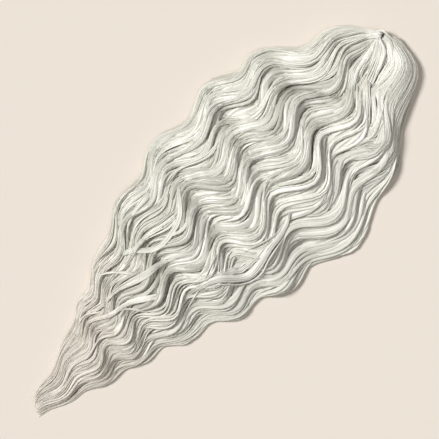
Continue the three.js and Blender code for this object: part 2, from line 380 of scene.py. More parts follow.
# How locks and tufts differ by chance.
LOCK_PHASE_SPREAD = 0.04
LOCK_LEVEL_SPREAD = 1.1
LOCK_TONE_SPREAD = 0.2
TUFT_PHASE_SPREAD = 0.012
TUFT_TONE_SPREAD = 0.08
TUFT_SIZE_MEAN = 0.22
TUFT_SIZE_SPREAD = 0.4
TUFT_END_SPREAD = 0.09
SEAT_REACH = 0.75
SEAT_JITTER = 0.1

# Where a tuft lies across its half. Locks sway, tighten at every second bend, and bend late near the tie.
SWAY_RAMP = (0, 1.2)
BEND_SQUEEZE = 0.2
BEND_PHASE = 0.78
TIGHTNESS_DRIFT = 0.2
SEAT_DRIFT = 0.25
PHASE_DRIFT = 0.035
LATE_BEND = 0.08
LATE_BEND_WAVE = 1.25
LATE_BEND_LENGTH = 0.5
LATE_BEND_RAMP = (0.35, 0.35)
START_INSET = 0.2

# How far a tuft lies over or under its half's upper side, calmer on the tail by the tie and at the tips.
LEVEL_DRIFT = 1.9
DOME_LEAST = 0.02
DOME_MEAN = 0.75
TUFT_LEVEL_DRIFT = 0.3
LEVEL_RAMP = (0, 0.6)
RELIEF_RAMP = (0, 1.8)
TAIL_CALM = 0.35
TAIL_CALM_RAMP = (0.5, 0.8)
TIP_CALM = 0.25
TIP_CALM_RAMP = (4.5, 2)
SINK_RAMP = (0, 0.2)
FULL_THICKNESS = 15
THINNEST = 0.25
TUFT_DROP = 1.2

# How broad and thick a tuft is, and the slope it leans with.
TUFT_WIDTH = 1.3
LEAST_WIDTH = 0.45
TIP_WIDTH = 1.0
LOOSE_TIP_WIDTH = 0.3
TIP_WIDTH_RAMP = (5.8, 1.7)
TIE_WIDTH = 0.4
TIE_WIDTH_RAMP = (0, 0.4)
FULLNESS_DRIFT = 0.35
TIE_FLATNESS = 0.35
TIE_FLATNESS_RAMP = (0.3, 1.2)
TIP_FLATNESS = 0.55
TIP_FLATNESS_RAMP = (3, 3)
THICKNESS_SHARE = 0.5
THICKNESS_POWER = 0.75
THICKNESS_LIMITS = (0.25, 1.4)
FLOOR_TUFT_HEIGHT = 1.0
FLOOR_TUFT_LIFT = 0.4
LEAN_STEP = 0.01
LEAN_LIMIT = 1.5
LEAN_RAMP = (0, 0.5)

# Pointed ends, and how the tones and the painted shade on the tufts' low sides even out by the tie and at
# the tips.
POINT = 0.15
END_TAPER = (0.86, 0.14)
START_TAPER = (0, 0.15)
STRIP_PER_TUFT = 7.3
TIE_EVEN_RAMP = (0.3, 1.5)
TIE_FADE = 0.7
TIP_FADE = 0.9
TIP_FADE_RAMP = (3, 4)
EVEN_TONE = 0.55
TIE_EVENNESS = 0.55
TIP_EVENNESS = 0.4
TIP_EVEN_RAMP = (5, 3)

# Fine strands.
STRAND_OVERHANG = 0.2
STRAND_RUN = (0.5, 1.3)
STRAND_START_POWER = 1.4
STRAND_SEAT = 0.9
STRAND_DRIFT = 0.35
STRAND_END_SPAN = 0.12
STRAND_OUT = 0.3
STRAND_STRAY = 0.075
STRAND_SINK = 1.0
STRAND_CLEARANCE = 1.2
STRAND_SIZE = (0.75, 1.25)
STRAND_END_SIZE = 0.35
STRAND_TIP_THINNING = 0.5
STRAND_TIP_RAMP = (4, 3)
STRAND_TONE_GAIN = 0.05
STRAND_TONE_SPREAD = 0.12
STRIP_PER_STRAND = 3.7


def section_table(profile, aspect):
    """How far across a half lies each share of the way over its upper side, from edge to edge."""
    turn = np.linspace(0, np.pi, SECTION_STEPS)
    across = (1 - np.cos(turn)) / 2
    step = np.hypot(np.diff(across), np.diff(profile(across)) * aspect)
    way = np.concatenate([[0], np.cumsum(step)])
    return way / way[-1], across


HALVES = {"front": FRONT, "back": BACK}
SECTIONS = {"front": section_table(draped, aspect=0.1), "back": section_table(heaped, aspect=0.12)}
SECTION_GIRTH = {"front": 1.14, "back": 1.18}

# Random curves are sums of a few waves, each faster and weaker than the one before.
VOICES = 3
VOICE_RATE = 1.7
VOICE_RATE_SPREAD = (0.8, 1.25)
VOICE_FALL = 0.6
VOICE_SUM = 1.6


def wanderer(count, slowest=0.22):
    """Smooth random curves along the waves, about -1 to 1, by the curve's number and the wave."""
    rates = slowest * VOICE_RATE ** np.arange(VOICES) * rng.uniform(*VOICE_RATE_SPREAD, (count, VOICES))
    starts = rng.uniform(0, 2 * np.pi, (count, VOICES))

    def value(which, wave):
        total = 0
        for voice in range(VOICES):
            turn = 2 * np.pi * rates[which, voice][:, None] * wave + starts[which, voice][:, None]
            total = total + np.sin(turn) / (1 + VOICE_FALL * voice)
        return total / VOICE_SUM

    return value


class Locks:
    """Locks on a half. A row is the wave and the way over the half that a lock starts at, the wave and way
    that it ends at, and its half width."""

    def __init__(self, half_name, rows, tufts, level, dome=6.5, drift=0.75, sinks=(0, 0), gain=(0.8, 1.25),
                 relief=1.0, widest=3.4, tone=0.5, on_floor=False):
        rows = np.array(rows, float)
        locks = len(rows)
        total = locks * tufts
        self.half = HALVES[half_name]
        self.name = half_name
        self.tufts = tufts
        self.count = total
        self.level = level
        self.dome = dome
        self.drift = drift
        self.sinks = sinks
        self.relief = relief
        self.widest = widest
        self.on_floor = on_floor
        self.lies_over = sinks[0] > 0
        self.from_wave, self.from_way, self.to_wave, self.to_way, self.half_share = rows.T
        self.side_drift = wanderer(locks)
        self.phase = rng.normal(0, LOCK_PHASE_SPREAD, locks)
        self.phase_drift = wanderer(locks)
        self.gain = rng.uniform(*gain, locks)
        self.own_level = rng.normal(0, LOCK_LEVEL_SPREAD, locks)
        self.level_drift = wanderer(locks, slowest=0.3)
        self.tightness = wanderer(locks, slowest=0.5)
        self.seat = np.tile(np.linspace(-SEAT_REACH, SEAT_REACH, tufts), locks)
        self.seat = self.seat + rng.uniform(-SEAT_JITTER, SEAT_JITTER, total)
        self.seat_drift = wanderer(total, slowest=0.35)
        self.tuft_phase = rng.normal(0, TUFT_PHASE_SPREAD, total)
        self.tuft_level = wanderer(total, slowest=0.5)
        self.fullness = wanderer(total, slowest=0.45)
        self.size = np.exp(rng.normal(TUFT_SIZE_MEAN, TUFT_SIZE_SPREAD, total))
        self.tuft_end = np.repeat(self.to_wave, tufts) - np.abs(rng.normal(0, TUFT_END_SPREAD, total))
        lock_tone = rng.normal(tone, LOCK_TONE_SPREAD, locks).repeat(tufts)
        self.tone = np.clip(lock_tone + rng.normal(0, TUFT_TONE_SPREAD, total), 0, 1)

    def share_of(self, lock, wave):
        """How far along its lock a wave is, from 0 at the lock's start to 1."""
        start = self.from_wave[lock][:, None]
        end = self.to_wave[lock][:, None]
        return np.clip((wave - start) / (end - start), 0, 1)

    def seats(self, tuft, wave):
        """Where each tuft lies across its half and in its lock, and the lock's half width."""
        lock = tuft // self.tufts
        half_share = self.half_share[lock][:, None]
        sway = self.drift * half_share * self.side_drift(lock, wave) * ramp(wave, *SWAY_RAMP)
        from_way = self.from_way[lock][:, None]
        to_way = self.to_way[lock][:, None]
        middle = lerp(from_way, to_way, self.share_of(lock, wave)) + sway
        bend = 1 - BEND_SQUEEZE * np.cos(2 * np.pi * (wave - BEND_PHASE))
        lock_half = half_share * (bend + TIGHTNESS_DRIFT * self.tightness(lock, wave))
        seat = self.seat[tuft][:, None] + SEAT_DRIFT * self.seat_drift(tuft, wave)
        across = np.clip(middle + seat * lock_half, 0, 1)
        if not self.on_floor:
            across = np.interp(across, *SECTIONS[self.name])
        return across, seat, lock_half

    def swing(self, tuft, wave, across):
        """The place on the plan with the tuft's own waves, and how far across the half that place is."""
        lock = tuft // self.tufts
        wave_in = np.clip(wave, 0, LAST_WAVE)
        phase = self.phase[lock][:, None] + PHASE_DRIFT * self.phase_drift(lock, wave)
        phase = phase + self.tuft_phase[tuft][:, None]
        if self.half is FRONT:
            late = np.exp(-((wave - LATE_BEND_WAVE) / LATE_BEND_LENGTH) ** 2)
            phase = phase - LATE_BEND * late * ramp(across, *LATE_BEND_RAMP)
        gain = self.gain[lock][:, None]
        plan = place(self.half, wave_in, across, phase, gain)
        lag = side_swing(wave_in, phase) * (1 - gain)
        across = np.clip(across + lag / breadth(self.half, wave_in), 0, 1)
        to_tie = np.minimum(wave, 0) / -BURIED_START * (NECK_HALF_LENGTH - START_INSET)
        plan[..., 1] += to_tie if self.half is FRONT else -to_tie
        return plan, across

    def section(self, tuft, wave, lock_half):
        """The half width and the half height of each tuft."""
        half_width = lock_half * breadth(self.half, np.clip(wave, 0, LAST_WAVE))
        width = half_width * SECTION_GIRTH[self.name] / self.tufts * TUFT_WIDTH
        width = width * self.size[tuft][:, None] * (1 + FULLNESS_DRIFT * self.fullness(tuft, wave))
        tip_width = LOOSE_TIP_WIDTH if self.lies_over else TIP_WIDTH
        least = LEAST_WIDTH + tip_width * ramp(wave, *TIP_WIDTH_RAMP)
        least = least + TIE_WIDTH * (1 - ramp(wave, *TIE_WIDTH_RAMP))
        width = np.clip(width, least, self.widest)
        flat = 1 - TIE_FLATNESS * (1 - ramp(wave, *TIE_FLATNESS_RAMP))
        flat = flat - TIP_FLATNESS * ramp(wave, *TIP_FLATNESS_RAMP)
        thick = np.clip(THICKNESS_SHARE * width**THICKNESS_POWER, *THICKNESS_LIMITS) * flat
        return width, thick

    def rise(self, tuft, wave, seat):
        """How far each tuft lies over its half's upper side."""
        lock = tuft // self.tufts
        uneven = self.own_level[lock][:, None] + LEVEL_DRIFT * self.level_drift(lock, wave)
        uneven = uneven + self.dome * (np.sqrt(np.clip(1 - seat**2, DOME_LEAST, 1)) - DOME_MEAN)
        uneven = uneven + TUFT_LEVEL_DRIFT * self.tuft_level(tuft, wave)
        calm = lerp(TAIL_CALM, 1, ramp(wave, *TAIL_CALM_RAMP)) if self.half is BACK else 1.0
        tip_calm = 1 - TIP_CALM * ramp(wave, *TIP_CALM_RAMP)
        relief = self.relief * calm * uneven * ramp(wave, *RELIEF_RAMP) * tip_calm
        share = self.share_of(lock, wave)
        start_sink = self.sinks[0] * (1 - ramp(share, *SINK_RAMP))
        end_sink = self.sinks[1] * (1 - ramp(1 - share, *SINK_RAMP))
        level = self.level - start_sink - end_sink
        thickness = column(self.half, "height", np.clip(wave, 0, LAST_WAVE))
        thin = np.clip(thickness / FULL_THICKNESS, THINNEST, 1)
        return thin * (level * ramp(wave, *LEVEL_RAMP) + relief)

    def lean(self, wave, across):
        """The slope across the half that each tuft lies on."""
        wave_in = np.clip(wave, 0, LAST_WAVE)
        right = top_of(self.half, wave_in, np.clip(across + LEAN_STEP, 0, 1), self.lies_over)
        left = top_of(self.half, wave_in, np.clip(across - LEAN_STEP, 0, 1), self.lies_over)
        slope = (right - left) / (2 * LEAN_STEP * breadth(self.half, wave_in))
        return np.clip(slope, -LEAN_LIMIT, LEAN_LIMIT) * ramp(wave, *LEAN_RAMP)

    def lie(self, tuft, wave):
        """The path of each tuft at each wave, its half width and half height, and the slope it lies on."""
        wave_in = np.clip(wave, 0, LAST_WAVE)
        across, seat, lock_half = self.seats(tuft, wave)
        plan, across = self.swing(tuft, wave, across)
        width, thick = self.section(tuft, wave, lock_half)
        bottom = bottom_of(self.half, wave_in, across)
        if self.on_floor:
            thick = np.minimum(thick, FLOOR_TUFT_HEIGHT)
            height = bottom + thick + FLOOR_TUFT_LIFT * np.abs(self.tuft_level(tuft, wave))
            return raised(plan, height), width, thick, 0.0
        top = top_of(self.half, wave_in, across, self.lies_over)
        height = np.maximum(top + self.rise(tuft, wave, seat) - TUFT_DROP, bottom + thick)
        return raised(plan, height), width, thick, self.lean(wave, across)

    def bodies(self, name, stations_per_wave=STATIONS_PER_WAVE):
        tuft = np.arange(self.count)
        start = np.repeat(self.from_wave, self.tufts)[:, None]
        stations = int(np.max(self.to_wave - self.from_wave) * stations_per_wave) + 1
        share = np.linspace(0, 1, stations)
        wave = start + (self.tuft_end[:, None] - start) * share
        path, width, thick, tilt = self.lie(tuft, wave)
        full = 1 - (1 - POINT) * ramp(share, *END_TAPER)
        if self.lies_over:
            full = full * lerp(POINT, 1, ramp(share, *START_TAPER))
        side, up = frames(path, tilt)
        rings, reach, crest = swept_rings(path, side, up, width * full, thick * full, TUFT_SIDES)
        rings[..., 2] = np.maximum(rings[..., 2], 0)
        # The crest field is each point's height round its tuft's section, and the material paints shade
        # where it is low; floor tufts get this painted shade on their upper sides.
        if self.on_floor:
            crest = -crest
        # The fade evens out the painted shade by the tie and at the tips.
        near_tie = 1 - ramp(wave, *TIE_EVEN_RAMP)
        fade = np.maximum(TIP_FADE * ramp(wave, *TIP_FADE_RAMP), TIE_FADE * near_tie)[..., None]
        own_tone = 1 - TIE_EVENNESS * near_tie - TIP_EVENNESS * ramp(wave, *TIP_EVEN_RAMP)
        fields = {
            "tone": lerp(EVEN_TONE, self.tone[:, None], own_tone)[..., None],
            "along": wave[..., None],
            "strip": reach + STRIP_PER_TUFT * tuft[:, None, None],
            "crest": lerp(crest, 1.0, fade),
        }
        return tube_mesh(name, rings, fields)

    def strands(self, name, count, run, radius):
        """Fine strands that come out of a tuft, follow it for a while and go back in."""
        tuft = rng.integers(0, self.count, count)
        first = np.repeat(self.from_wave, self.tufts)[tuft]
        last = np.minimum(self.tuft_end[tuft] + STRAND_OVERHANG, LAST_WAVE)
        length = np.minimum(run * rng.uniform(*STRAND_RUN, count), last - first)
        start = first + (last - first - length) * rng.uniform(0, 1, count) ** STRAND_START_POWER
        share = np.linspace(0, 1, int(run * STRAND_STATIONS_PER_WAVE) + 1)
        wave = start[:, None] + length[:, None] * share
        path, width, thick, tilt = self.lie(tuft, wave)
        side, up = frames(path, tilt)
        own = np.arange(count)
        seat = rng.uniform(-STRAND_SEAT, STRAND_SEAT, count)[:, None]
        seat = seat + STRAND_DRIFT * wanderer(count, slowest=0.3)(own, wave)
        lens = np.sqrt(np.clip(1 - seat**2, 0, 1))
        ends = ramp(share, 0, STRAND_END_SPAN) * ramp(1 - share, 0, STRAND_END_SPAN)
        out = thick * lens + radius * STRAND_OUT + STRAND_STRAY * rng.uniform(0, 1, count)[:, None]
        out = out - STRAND_SINK * (1 - ends)
        path = path + side * (seat * width)[..., None] + up * out[..., None]
        path[..., 2] = np.maximum(path[..., 2], STRAND_CLEARANCE * radius)
        size = radius * rng.uniform(*STRAND_SIZE, count)[:, None] * lerp(STRAND_END_SIZE, 1, ends)
        size = size * (1 - STRAND_TIP_THINNING * ramp(wave, *STRAND_TIP_RAMP))
        side, up = frames(path)
        rings, reach, _ = swept_rings(path, side, up, size, size, STRAND_SIDES)
        tone = self.tone[tuft] + rng.normal(STRAND_TONE_GAIN, STRAND_TONE_SPREAD, count)
        fields = {
            "tone": np.clip(tone, 0, 1)[:, None, None],
            "along": wave[..., None],
            "strip": reach + STRIP_PER_STRAND * own[:, None, None],
            "crest": 1.0,
        }
        return tube_mesh(name, rings, fields)


# In a row of locks every second one is long, and the others end earlier.
WAY_JITTER = 0.25
LONG_LOCK_ENDS = (0, 0.15)
SHORT_LOCK_ENDS = (0.3, 1.5)


def row_of_locks(locks, first, last, spread):
    """Rows for locks side by side, each as wide as spread times their spacing."""
    spacing = (last - first) / (locks - 1)
    way = np.linspace(first, last, locks) + rng.uniform(-WAY_JITTER, WAY_JITTER, locks) * spacing
    long_ends = rng.uniform(*LONG_LOCK_ENDS, locks)
    short_ends = rng.uniform(*SHORT_LOCK_ENDS, locks)
    end = LAST_WAVE - np.where(np.arange(locks) % 2, long_ends, short_ends)
    start = np.full(locks, BURIED_START)
    return np.stack([start, way, end, way, np.full(locks, 0.5 * spread * spacing)], -1)


# The core of each half: a plain body just under its locks, dark as painted shade where it shows between
# them.
CORE_DROP = 4.4
CORE_TIP_DROP = 0.5
CORE_TIP_DROP_RAMP = (6.5, 2)
CORE_INSET = 0.02
CORE_TIP_INSET = 0.3
CORE_TIP_INSET_RAMP = (6.5, 2.2)
CORE_START = 0.12
CORE_END = 8.3
CORE_STEP = 0.1
CORE_COLUMNS = 41
CORE_FLOOR_GAP = 1.2
CORE_LEAST_HEIGHT = 0.15
CORE_STRIP_WIDTH = 150


def core(name, half):
    wave = np.arange(CORE_START, CORE_END, CORE_STEP)[:, None]
    inset = CORE_INSET + CORE_TIP_INSET * ramp(wave, *CORE_TIP_INSET_RAMP)
    across = inset + (1 - 2 * inset) * np.linspace(0, 1, CORE_COLUMNS)[None]
    wave = wave + 0 * across
    plan = place(half, wave, across)
    low = bottom_of(half, wave, across) + CORE_FLOOR_GAP * ramp(wave, 0, FAN_START)
    drop = CORE_DROP * ramp(wave, *LEVEL_RAMP) + TUFT_DROP
    high = top_of(half, wave, across) - drop - CORE_TIP_DROP * ramp(wave, *CORE_TIP_DROP_RAMP)
    upper = raised(plan, np.maximum(high, low + CORE_LEAST_HEIGHT))
    lower = raised(plan, low)[:, ::-1]
    fields = {
        "tone": 0.5,
        "along": np.concatenate([wave, wave], 1),
        "strip": np.concatenate([across, across[:, ::-1]], 1) * CORE_STRIP_WIDTH,
        "crest": 1.0,
    }
    return tube_mesh(name, np.concatenate([upper, lower], 1)[None], fields)


def finish_piece(piece, material):
    piece.data.materials.clear()
    piece.data.materials.append(material)
    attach(piece, "root")


# Materials.
MIX_FIRST = 6
MIX_SECOND = 7
MIX_RESULT = 2


def new_material(name):
    material = bpy.data.materials.new(name)
    material.use_nodes = True
    return material, material.node_tree, material.node_tree.nodes["Principled BSDF"]


def new_node(tree, kind, **values):
    """A node with numbers on its sockets."""
    made = tree.nodes.new(kind)
    for socket, value in values.items():
        made.inputs[socket].default_value = value
    return made


def math_node(tree, operation, *values):
    made = tree.nodes.new("ShaderNodeMath")
    made.operation = operation
    for socket, value in zip(made.inputs, values):
        if isinstance(value, (int, float)):
            socket.default_value = value
        else:
            tree.links.new(value, socket)
    return made.outputs[0]


def field_value(tree, name):
    made = tree.nodes.new("ShaderNodeAttribute")
    made.attribute_name = name
    return made.outputs["Fac"]


def colour_ramp(tree, value, stops):
    made = tree.nodes.new("ShaderNodeValToRGB")
    elements = made.color_ramp.elements
    while len(elements) < len(stops):
        elements.new(0.5)
    for element, (position, colour) in zip(elements, stops):
        element.position = position
        element.color = (*colour, 1)
    tree.links.new(value, made.inputs["Fac"])
    return made.outputs["Color"]


def multiplied(tree, first, second):
    """The product of two colours."""
    made = new_node(tree, "ShaderNodeMix", Factor=1.0)
    made.data_type = "RGBA"
    made.blend_type = "MULTIPLY"
    tree.links.new(first, made.inputs[MIX_FIRST])
    tree.links.new(second, made.inputs[MIX_SECOND])
    return made.outputs[MIX_RESULT]


def add_bump(tree, shader, height, strength, distance):
    bump = new_node(tree, "ShaderNodeBump", Strength=strength, Distance=distance)
    tree.links.new(height, bump.inputs["Height"])
    tree.links.new(bump.outputs["Normal"], shader.inputs["Normal"])


def grey(value):
    return (value, value, value)


# Along the hair the tint goes from the tie to the tips, where the hair is also less glossy.
TINTS_TO_TIP = [
    (0.0, (1.05, 1.035, 1.035)),
    (0.26, (1.05, 1.055, 1.05)),
    (0.42, (0.93, 0.935, 0.92)),
    (0.62, (0.925, 0.9, 0.88)),
    (0.78, (0.845, 0.795, 0.765)),
]
TIP_TINT = (1.0, 0.95, 0.925)
DRYNESS_TO_TIP = [(0.5, grey(0)), (0.85, grey(0.2))]
ROUGHNESS_OF_STREAKS = [(0.3, grey(0.4)), (0.7, grey(0.27))]
# Painted shade: where the crest field is low, on the sides and undersides of the tufts, the colour darkens
# towards this tint; from the crest value below it is unshaded.
PAINTED_SHADE_TINT = (0.79, 0.775, 0.74)
PAINTED_SHADE_END = 0.75
STREAKS_PER_WAVE = 0.5
STREAK_CONTRAST = 2.6


def hair_material(name, light, dark, tip_gain=1.0, streaks_per_mm=0.45):
    """Silky fibre with fine streaks along it, lighter or darker from tuft to tuft, warmer to the tips,
    with painted shade on the low sides of the tufts.
    """
    material, tree, shader = new_material(name)
    spot = tree.nodes.new("ShaderNodeCombineXYZ")
    streaks_across = math_node(tree, "MULTIPLY", field_value(tree, "strip"), streaks_per_mm)
    streaks_along = math_node(tree, "MULTIPLY", field_value(tree, "along"), STREAKS_PER_WAVE)
    tree.links.new(streaks_across, spot.inputs["X"])
    tree.links.new(streaks_along, spot.inputs["Y"])
    noise = new_node(tree, "ShaderNodeTexNoise", Scale=1.0, Detail=3.0, Roughness=0.6)
    tree.links.new(spot.outputs["Vector"], noise.inputs["Vector"])
    streaks = noise.outputs["Fac"]
    streak = math_node(tree, "MULTIPLY", math_node(tree, "SUBTRACT", streaks, 0.5), STREAK_CONTRAST)
    shade = math_node(tree, "ADD", field_value(tree, "tone"), streak)
    base = colour_ramp(tree, shade, [(0.0, dark), (1.0, light)])
    to_tip = math_node(tree, "DIVIDE", field_value(tree, "along"), LAST_WAVE)
    gloss = colour_ramp(tree, streaks, ROUGHNESS_OF_STREAKS)
    dryness = colour_ramp(tree, to_tip, DRYNESS_TO_TIP)
    tree.links.new(math_node(tree, "ADD", gloss, dryness), shader.inputs["Roughness"])
    tip = [tip_gain * part for part in TIP_TINT]
    tinted = multiplied(tree, base, colour_ramp(tree, to_tip, TINTS_TO_TIP + [(1.0, tip)]))
    # Painted shade on the tufts' low sides, from the crest field.
    painted_shade = colour_ramp(tree, field_value(tree, "crest"), [(0.0, PAINTED_SHADE_TINT), (PAINTED_SHADE_END, grey(1))])
    tree.links.new(multiplied(tree, tinted, painted_shade), shader.inputs["Base Color"])
    add_bump(tree, shader, streaks, strength=0.08, distance=0.0004)
    return material


PLY_SHARE = 0.6
FUZZ_SHARE = 0.4


def thread_material(name, light, dark):
    """Matt twisted thread: slanting plies with a little fuzz, in colour and in relief."""
    material, tree, shader = new_material(name)
    shader.inputs["Roughness"].default_value = 0.8
    place_on = tree.nodes.new("ShaderNodeTexCoord")
    plies = new_node(tree, "ShaderNodeTexWave", Scale=550.0, Distortion=2.0, Detail=2.0)
    plies.bands_direction = "DIAGONAL"
    fuzz = new_node(tree, "ShaderNodeTexNoise", Scale=4000.0)
    tree.links.new(place_on.outputs["Object"], plies.inputs["Vector"])
    tree.links.new(place_on.outputs["Object"], fuzz.inputs["Vector"])
    ply_part = math_node(tree, "MULTIPLY", plies.outputs["Fac"], PLY_SHARE)
    mixed = math_node(tree, "MULTIPLY_ADD", fuzz.outputs["Fac"], FUZZ_SHARE, ply_part)
    tree.links.new(colour_ramp(tree, mixed, [(0.2, dark), (0.8, light)]), shader.inputs["Base Color"])
    add_bump(tree, shader, mixed, strength=0.6, distance=0.0002)
    return material


def floor_material(name, colour, roughness):
    material, _, shader = new_material(name)
    shader.inputs["Base Color"].default_value = (*colour, 1)
    shader.inputs["Roughness"].default_value = roughness
    return material


hair = hair_material("hair", (0.93, 0.92, 0.846), (0.585, 0.572, 0.508))
# The cores' hair is dark as painted shade in the gaps between the locks, less dark towards the tips.
core_hair_painted_shade = hair_material("core_hair_painted_shade", (0.56, 0.545, 0.5), (0.3, 0.29, 0.255), 1.65, streaks_per_mm=0.9)
# A lighter copy of the hair: painted light on the loose locks and wisps that lie on top.
loose_hair_painted_light = hair_material("loose_hair_painted_light", (0.97, 0.955, 0.89), (0.69, 0.675, 0.61))
thread = thread_material("thread", (0.045, 0.04, 0.036), (0.014, 0.012, 0.011))

# The cores, dark as painted shade between the locks, and the locks on them.
for node, half, slot in (("front_half", FRONT, "hair_front"), ("back_half", BACK, "hair_back")):
    piece = core(node.replace("half", "core"), half)
    finish_piece(piece, core_hair_painted_shade)
    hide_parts(node)

TO_WAVE = 2
STRAND_LENGTH = 3.0
STRAND_RADIUS = 0.28
TOP_LOCKS = {"relief": 1.25}
UNDER_LOCKS = {"relief": 0.5, "widest": 4.5}
# The neck locks on the tail by the tie take a darker tone: painted shade for the crease there.
NECK_LOCKS = {"relief": 1.25, "tone": 0.25}
TAIL_LOCKS = {"relief": 0.3, "widest": 1.5, "gain": (1.6, 2.2), "sinks": (0, 5)}

# Name, half, row (locks, first and last way over the half, spread), tufts in a lock, level, fine strands,
# the waves that short locks end at, and how the locks lie.
LOCK_SETS = [
    ("back_neck", "back", (6, 0.03, 0.30, 1.6), 5, -3.5, 100, (1.8, 2.6), NECK_LOCKS),
    ("tail_fine", "back", (13, 0.30, 0.985, 1.7), 8, 1.5, 260, (1.1, 1.9), TAIL_LOCKS),
    ("back_under", "back", (12, 0.36, 0.985, 1.6), 3, -2.6, 0, None, UNDER_LOCKS),
    ("back_locks", "back", (11, 0.36, 0.985, 1.5), 6, 0.0, 330, None, TOP_LOCKS),
    ("front_under", "front", (18, 0.02, 0.985, 1.6), 3, -2.6, 0, None, UNDER_LOCKS),
    ("front_locks_1", "front", (9, 0.015, 0.47, 1.45), 6, 0.0, 420, None, TOP_LOCKS),
    ("front_locks_2", "front", (9, 0.525, 0.985, 1.45), 6, 0.0, 420, None, TOP_LOCKS),
]
for name, half_name, row, tufts, level, fine, short_ends, how in LOCK_SETS:
    rows = row_of_locks(*row)
    if short_ends:
        rows[:, TO_WAVE] = rng.uniform(*short_ends, len(rows))
    locks = Locks(half_name, rows, tufts, level, **how)
    slot = "hair_" + half_name
    piece = locks.bodies(name)
    finish_piece(piece, hair)
    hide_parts(half_name + "_half")
    if fine:
        finish_piece(locks.strands(name + "_strands", fine, STRAND_LENGTH, STRAND_RADIUS), hair)

# Flat tufts on the underside: name, half, row, tufts in a lock, and the last wave they reach.
FLOOR_SETS = [
    ("back_floor", "back", (13, 0.03, 0.97, 1.5), 4, LAST_WAVE),
    ("front_floor", "front", (5, 0.03, 0.42, 1.5), 4, LAST_WAVE),
    ("neck_floor", "front", (6, 0.45, 0.97, 1.5), 4, 2.0),
]
for name, half_name, row, tufts, last in FLOOR_SETS:
    rows = row_of_locks(*row)
    rows[:, TO_WAVE] = np.minimum(rows[:, TO_WAVE], last)
    locks = Locks(half_name, rows, tufts, level=0.0, widest=4.5, on_floor=True)
    finish_piece(locks.bodies(name, FLOOR_STATIONS_PER_WAVE), hair)

# Loose locks, wisps and stray locks over the front half, a row of the Locks class for each.
LOOSE_ROWS = [
    (4.0, 0.43, 5.5, 0.30, 0.022),
    (4.5, 0.66, 7.0, 0.16, 0.026),
    (5.0, 0.80, 7.0, 0.26, 0.028),
]
WISP_ROWS = [
    (4.2, 0.15, 5.1, 0.20, 0.012),
    (5.25, 0.45, 5.85, 0.12, 0.011),
    (5.5, 0.82, 6.35, 0.33, 0.012),
    (6.1, 0.40, 7.2, 0.10, 0.013),
    (3.95, 0.83, 4.7, 0.91, 0.006),
    (2.85, 0.91, 3.55, 0.95, 0.007),
    (3.1, 0.56, 4.6, 0.46, 0.008),
    (2.7, 0.30, 4.1, 0.24, 0.008),
    (4.9, 0.66, 6.2, 0.60, 0.009),
    (6.3, 0.70, 7.6, 0.55, 0.012),
]
STRAY_ROWS = [
    (2.6, 0.975, 5.2, 0.975, 0.03),
    (3.7, 0.83, 4.7, 0.95, 0.012),
]
# The high tones of the loose locks and wisps add to their painted light.
LOOSE = {"dome": 2.5, "drift": 0.3, "sinks": (6, 6), "gain": (0.28, 0.32), "relief": 0.6, "tone": 0.95}
WISPS = {"dome": 1.5, "drift": 0.3, "sinks": (5, 5), "gain": (0.35, 0.9), "relief": 0.6, "tone": 0.75}
STRAY = {"dome": 1.5, "drift": 0.3, "sinks": (4, 4), "relief": 0.6}
LOOSE_STRANDS = 24
LOOSE_STRAND_LENGTH = 1.2
LOOSE_STRAND_RADIUS = 0.26

for number, row in enumerate(LOOSE_ROWS, 1):
    name = f"loose_tufts_{number}"
    locks = Locks("front", [row], tufts=6, level=3.6, **LOOSE)
    piece = locks.bodies(name)
    finish_piece(piece, loose_hair_painted_light)
    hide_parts(f"loose_lock_{number}")
    strands = locks.strands(name + "_strands", LOOSE_STRANDS, LOOSE_STRAND_LENGTH, LOOSE_STRAND_RADIUS)
    finish_piece(strands, loose_hair_painted_light)

wisps = Locks("front", WISP_ROWS, tufts=3, level=2.0, **WISPS)
finish_piece(wisps.bodies("front_wisps"), loose_hair_painted_light)
stray = Locks("front", STRAY_ROWS, tufts=3, level=0.6, **STRAY)
finish_piece(stray.bodies("front_stray"), hair)


# Locks along routes: short ones by the tie, and ones that cross the front half.
ROUTE_STATIONS = 33
ROUTE_SIDES = 6
ROUTE_TUFT_WIDTH = 0.6
ROUTE_TUFT_THICKNESS = 0.5
ROUTE_TUFT_SIZE = (0.7, 1.3)
ROUTE_TAPER = 0.25
ROUTE_TONE_MEAN = 0.55
ROUTE_TONE_SPREAD = 0.15
ROUTE_STRIP_PER_TUFT = 5.1
ROUTE_WAVES_PER_POINT = 0.2
SIDEWAYS_SPREAD = 0.6
SIDEWAYS_DROP = 0.5
SIDE_JITTER = 0.25
HEIGHT_JITTER = (-1.6, 0.2)
FULL_JITTER_REACH = 6
LEAST_JITTER = 0.15
LOOSE_END_JITTER = (1.8, 1.8, 0.5)
TIED_END_JITTER = (0.8, 0.3, 0.2)

